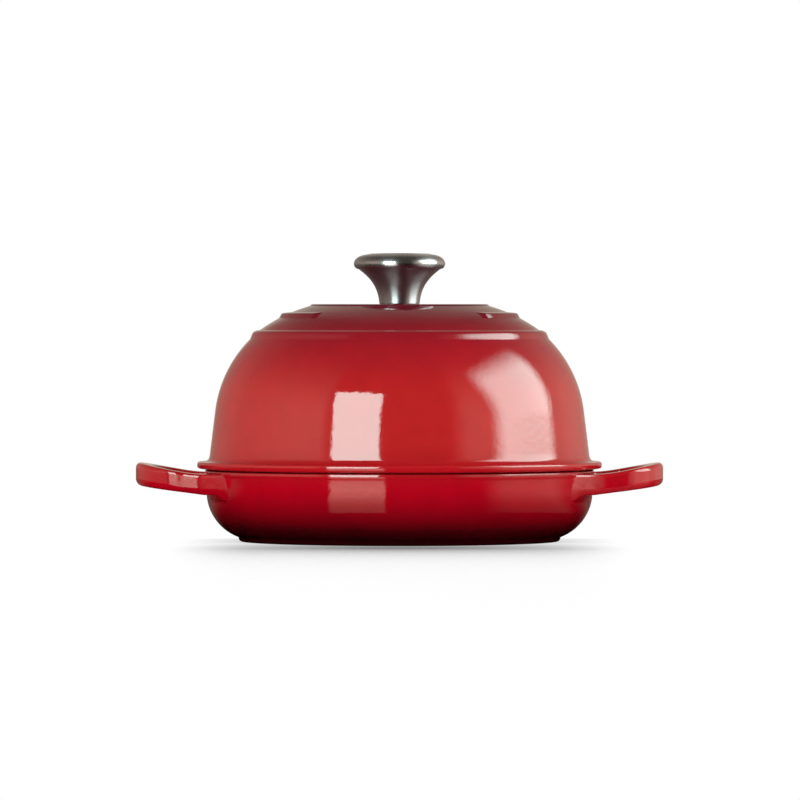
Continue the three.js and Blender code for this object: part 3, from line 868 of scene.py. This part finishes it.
# Studio: a white sweep behind, a dark room in front with two softboxes, and a camera almost level with the
# lid. Turns are in degrees from the camera's side, positive to the right. The pairs for the fill, the walls
# and the sweep are parts along one axis of a direction of length 1.
studio = {
    "cameraDistance": 4.9,  # lengths are in metres from here on
    "cameraHeight": 0.149,
    "aim": (0.0003, 0.0, 0.0875),
    "frameWidth": 0.4952,
    "frontFill": 0.3,
    "backFill": 0.9,
    "fillTurn": (-0.5, 0.6),
    "slant": 1.0,  # more fill from the upper left than from the upper right
    "slantRise": 0.5,
    "warmth": (1.0, 0.91, 0.76),
    "ceiling": 0.08,
    "walls": {"left": (0.65, 0.31, 0.23), "right": (0.65, 0.66, 0.35)},
    "wallTurns": {"left": (-42, -52, -60, -120, -125, -160), "right": (30, 46, 80, 115, 125, 160)},
    "wallRise": (0.95, 0.1),
    "sweep": 0.55,
    "sweepFall": 0.4,
    "sweepSides": (0.36, 0.1),
    "sweepStart": (0.1, 0.9),
    "floorSize": 14.0,
    "paper": 0.93,
    "fibreScale": 40.0,
    "fibreShade": (0.99, 1.01),
    "exposed": 1.08,
    "shadowFront": (-0.03, -0.15),
    "shadowSide": 0.2,
    "shadowSpread": (0.16, 0.085),
    "shadowReach": 1.5,
    "shadowShare": 0.5,
    "shadowFrom": (0.0, 1.0, 0.02),
    "contactReach": 0.035,
    "contactShare": 0.4,
    "leftBox": {"turn": -26.6, "lift": 14.5, "distance": 2.5, "size": (1.36, 1.5), "power": 51.0,
                "colour": (0.75, 1.0, 0.95), "soft": {"X": (0.05, 0.05), "Y": (0.05, 0.03)}},
    "rightBox": {"turn": 84.5, "lift": 27.2, "distance": 2.2, "size": (2.4, 2.15), "power": 92.0,
                 "colour": (0.80, 1.0, 0.95), "soft": {"X": (0.25, 0.2), "Y": (0.2, 0.36)}},
    "boxAim": 0.08,
    "leftGleam": {"from": -41.0, "to": -8.5, "soft": 1.2, "near": 0.3, "far": 1.9},
    "rightGleam": {"from": 56.0, "to": 105.0, "soft": 9.0, "near": 0.1, "far": 0.5},
    "gleamStart": (0.139, 0.143),
    "gleamEnd": 0.42,
    "gleamApex": 0.056,
    "floorGlow": {"left": (0.36, 0.34, 0.16), "right": (0.55, 0.75, 0.34)},
    "farFloor": (0.7, 1.8),
    "backFloor": 0.12,
    "backStart": (0.0, 0.15),
}


def addCamera(look):
    camera = bpy.data.objects.new("camera", bpy.data.cameras.new("camera"))
    bpy.context.scene.collection.objects.link(camera)
    camera.data.sensor_width = 36
    camera.data.lens = 36 * look["cameraDistance"] / look["frameWidth"]
    camera.data.clip_end = 60
    camera.location = (look["aim"][0], -look["cameraDistance"], look["cameraHeight"])
    drop = np.arctan2(look["cameraHeight"] - look["aim"][2], look["cameraDistance"])
    camera.rotation_euler = (np.pi / 2 - drop, 0, 0)
    bpy.context.scene.camera = camera


# A softbox on a sphere about the pot: turned from the camera's side, lifted from the floor, facing the pot.
# Its cloth is dimmer towards the edges, by a soft step over the given share of its width and height.
def addSoftbox(name, look, aim):
    lamp = bpy.data.lights.new(name, "AREA")
    lamp.shape = "RECTANGLE"
    lamp.size, lamp.size_y = look["size"]
    lamp.energy = look["power"]
    lamp.color = look["colour"]
    lamp.use_nodes = True
    tree = lamp.node_tree
    place = separated(tree, tree.nodes.new("ShaderNodeNewGeometry").outputs["Parametric"])
    edges = [maths(tree, "MULTIPLY", fade(tree, place[way], 0, low), fade(tree, place[way], 1, 1 - high))
             for way, (low, high) in look["soft"].items()]
    tree.links.new(maths(tree, "MULTIPLY", *edges), tree.nodes["Emission"].inputs["Strength"])
    box = bpy.data.objects.new(name, lamp)
    bpy.context.scene.collection.objects.link(box)
    turn, lift = np.radians(look["turn"]), np.radians(look["lift"])
    flat = look["distance"] * np.cos(lift)
    box.location = (flat * np.sin(turn), -flat * np.cos(turn), look["distance"] * np.sin(lift) + aim)
    box.rotation_euler = (np.pi / 2 - lift, 0, turn)
    box.visible_camera = False


# Walls at the sides in reflections: none in front, then a plain glow at each side that changes to a second
# level towards the back and to a third straight behind.
def sideGlow(tree, heading, glow, turns):
    total = 0.0
    for side, (near, back, far) in glow.items():
        start, edge, turn, turned, away, behind = np.radians(turns[side])
        level = mixed(tree, fade(tree, heading, turn, turned), near, back)
        level = mixed(tree, fade(tree, heading, away, behind), level, far)
        lit = maths(tree, "MULTIPLY", fade(tree, heading, start, edge), level)
        total = maths(tree, "ADD", lit, total)
    return total


# World: plain fill light, stronger from the white sweep behind and the upper left, and white to the camera.
# In reflections it is a dark room with a dim ceiling, paler walls at the sides and the warm white sweep
# behind, which darkens upwards.
def addWorld(look):
    world = bpy.data.worlds.new("studio")
    bpy.context.scene.world = world
    world.use_nodes = True
    tree = world.node_tree
    path = tree.nodes.new("ShaderNodeLightPath").outputs
    toSky = separated(tree, tree.nodes.new("ShaderNodeTexCoord").outputs["Generated"])
    heading = maths(tree, "ARCTAN2", toSky["X"], maths(tree, "MULTIPLY", toSky["Y"], -1.0))
    walls = sideGlow(tree, heading, look["walls"], look["wallTurns"])
    walls = maths(tree, "MULTIPLY", walls, fade(tree, toSky["Z"], *look["wallRise"]))
    room = maths(tree, "ADD", walls, look["ceiling"])
    darker = maths(tree, "POWER", maths(tree, "SUBTRACT", 1.0, toSky["Z"]), look["sweepFall"])
    middle = fade(tree, maths(tree, "ABSOLUTE", toSky["X"]), *look["sweepSides"])
    behind = maths(tree, "MULTIPLY", fade(tree, toSky["Y"], *look["sweepStart"]), middle)
    behind = maths(tree, "MULTIPLY", behind, maths(tree, "MULTIPLY", darker, look["sweep"]))
    mirrored = maths(tree, "MAXIMUM", room, behind)
    fill = mixed(tree, fade(tree, toSky["Y"], *look["fillTurn"]), look["frontFill"], look["backFill"])
    upperRight = maths(tree, "MULTIPLY", toSky["X"], fade(tree, toSky["Z"], 0, look["slantRise"]))
    slant = maths(tree, "MULTIPLY", upperRight, look["slant"])
    fill = maths(tree, "MULTIPLY", fill, maths(tree, "SUBTRACT", 1.0, slant))
    seen = maths(tree, "MAXIMUM", path["Is Glossy Ray"], path["Is Transmission Ray"])
    strength = mixed(tree, path["Is Camera Ray"], mixed(tree, seen, fill, mirrored), 1.0)
    tint = addNode(tree, "ShaderNodeMix", {"Factor": seen, "A": (1, 1, 1, 1), "B": (*look["warmth"], 1)},
                   data_type="RGBA")
    tree.links.new(strength, tree.nodes["Background"].inputs["Strength"])
    tree.links.new(tint.outputs["Result"], tree.nodes["Background"].inputs["Color"])


# The gleam of a softbox on the table: a wedge of floor between two headings from a point behind the pot's
# front, brighter further off. Headings are the angle whose tangent is sideways over forwards.
def gleam(tree, heading, reach, look, beam):
    start, end, soft = (np.radians(beam[name]) for name in ("from", "to", "soft"))
    inside = maths(tree, "MULTIPLY", fade(tree, heading, start - soft, start + soft),
                   fade(tree, heading, end + soft, end - soft))
    bright = mapped(tree, reach, look["gleamStart"][0], look["gleamEnd"], beam["near"], beam["far"])
    return maths(tree, "MULTIPLY", inside, bright)


# How bare the floor is of the pot's shadow. Light from behind is shut out in front of the pot, as far as the
# pot fills the side of the sky that it comes from, and less so at the sides. Close to the pot some light is
# shut out all round.
def openFloor(tree, spot, look):
    toLight = addNode(tree, "ShaderNodeCombineXYZ", dict(zip("XYZ", look["shadowFrom"]))).outputs["Vector"]
    sky = addNode(tree, "ShaderNodeAmbientOcclusion", {"Distance": look["shadowReach"], "Normal": toLight},
                  samples=24).outputs["AO"]
    shaded = mapped(tree, sky, look["shadowShare"], 1, 1, 0)
    share = mapped(tree, spot["Y"], *look["shadowFront"], look["shadowSide"], 1)
    spread = fade(tree, maths(tree, "ABSOLUTE", spot["X"]), *look["shadowSpread"])
    share = maths(tree, "MULTIPLY", share, spread)
    close = addNode(tree, "ShaderNodeAmbientOcclusion", {"Distance": look["contactReach"]}, samples=16)
    contact = maths(tree, "SUBTRACT", 1.0, close.outputs["AO"])
    contact = maths(tree, "MULTIPLY", contact, look["contactShare"])
    shade = maths(tree, "MAXIMUM", maths(tree, "MULTIPLY", shaded, share), contact)
    return maths(tree, "SUBTRACT", 1.0, shade)


# What the floor gives to reflections: a dark table with the gleam of the softboxes, a glow far off at the
# sides and a dim glow behind.
def tableGlow(tree, place, spot, look):
    reach = addNode(tree, "ShaderNodeVectorMath", {0: place}, operation="LENGTH").outputs["Value"]
    forward = maths(tree, "SUBTRACT", -look["gleamApex"], spot["Y"])
    heading = maths(tree, "ARCTAN2", spot["X"], forward)
    gleams = maths(tree, "ADD", gleam(tree, heading, reach, look, look["leftGleam"]),
                   gleam(tree, heading, reach, look, look["rightGleam"]))
    gleams = maths(tree, "MULTIPLY", gleams, fade(tree, reach, *look["gleamStart"]))
    glow = sideGlow(tree, heading, look["floorGlow"], look["wallTurns"])
    glow = maths(tree, "MULTIPLY", glow, fade(tree, reach, *look["farFloor"]))
    behind = maths(tree, "MULTIPLY", fade(tree, spot["Y"], *look["backStart"]), look["backFloor"])
    return maths(tree, "ADD", gleams, maths(tree, "MAXIMUM", glow, behind))


def glowing(tree, colour, strength):
    return addNode(tree, "ShaderNodeEmission", {"Color": colour, "Strength": strength}).outputs["Emission"]


# The first surface where the factor is 0, and the second where it is 1.
def either(tree, factor, first, second):
    return addNode(tree, "ShaderNodeMixShader", {0: factor, 1: first, 2: second}).outputs["Shader"]


# Floor: white paper that keeps the pot's shadow to the camera, and a dark table in reflections.
def addFloor(look):
    material, tree, shader, place = startMaterial("sweepPaper")
    tree.nodes.remove(shader)
    path = tree.nodes.new("ShaderNodeLightPath").outputs
    spot = separated(tree, place)
    fibre = mapped(tree, noise(tree, place, look["fibreScale"], 2), 0, 1, *look["fibreShade"])
    white = maths(tree, "MULTIPLY", fibre, look["paper"])
    paper = addNode(tree, "ShaderNodeBsdfDiffuse", {"Color": white}).outputs["BSDF"]
    exposed = maths(tree, "MULTIPLY", openFloor(tree, spot, look), look["exposed"])
    bright = maths(tree, "MINIMUM", maths(tree, "MULTIPLY", exposed, fibre), 1.0)
    bare = glowing(tree, (1, 1, 1, 1), bright)
    table = glowing(tree, (*look["warmth"], 1), tableGlow(tree, place, spot, look))
    shown = either(tree, path["Is Camera Ray"], paper, bare)
    ends = either(tree, path["Is Glossy Ray"], shown, table)
    tree.links.new(ends, tree.nodes["Material Output"].inputs["Surface"])
    half = look["floorSize"] / (2 * mm)
    corners = np.array([(-half, -half, 0), (half, -half, 0), (half, half, 0), (-half, half, 0)])
    floor = makePiece("floor", corners, [[(0, 1, 2, 3)]], [material])


addCamera(studio)
addSoftbox("leftBox", studio["leftBox"], studio["boxAim"])
addSoftbox("rightBox", studio["rightBox"], studio["boxAim"])
addWorld(studio)
addFloor(studio)
bpy.context.scene.view_settings.view_transform = "Standard"
print("studio ready")
